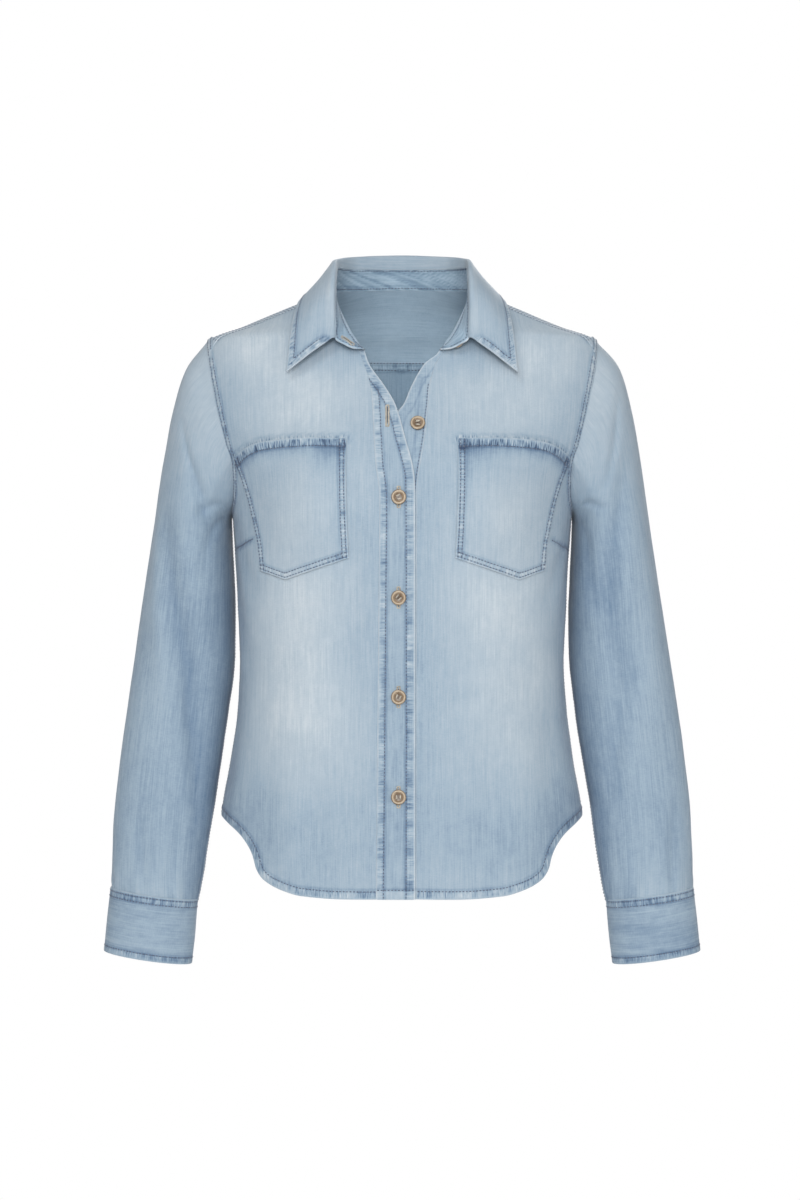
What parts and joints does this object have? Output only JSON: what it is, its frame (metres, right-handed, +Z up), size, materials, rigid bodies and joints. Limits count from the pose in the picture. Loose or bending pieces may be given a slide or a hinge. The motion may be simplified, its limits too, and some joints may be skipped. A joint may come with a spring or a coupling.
{
  "type": "denim shirt",
  "caption": "Long-sleeved denim shirt in its worn, hollow shape: turned-down collar, buttoned front, chest pockets, cuffs and a curved hem.",
  "frame": {"origin": "midway between the two neck points, where the shoulders' ridges meet the neck, and 8 mm below them; the wearer's shoulders hold the shirt up there", "axes": "+X towards the wearer's left, +Y towards the back, +Z up"},
  "size_m": [0.5916, 0.2307, 0.7147],
  "materials": {
    "denim": "light-wash cotton denim twill, faded at the chest and seams, tone-on-tone stitching",
    "button": "horn-effect button, brown with a paler rim, softly glossy"
  },
  "bodies": {
    "root": {"front_left": "denim", "front_right": "denim", "back": "denim", "yoke": "denim", "sleeve_left": "denim", "sleeve_right": "denim", "cuff_left": "denim", "cuff_right": "denim", "placket_left": "denim", "placket_right": "denim", "pocket_left": "denim", "pocket_right": "denim", "collar_stand": "denim", "collar_leaf": "denim", "button_1": "button", "button_2": "button", "button_3": "button", "button_4": "button", "button_5": "button", "button_neck": "button", "button_cuff_left": "button", "button_cuff_right": "button"}
  },
  "joints": []
}
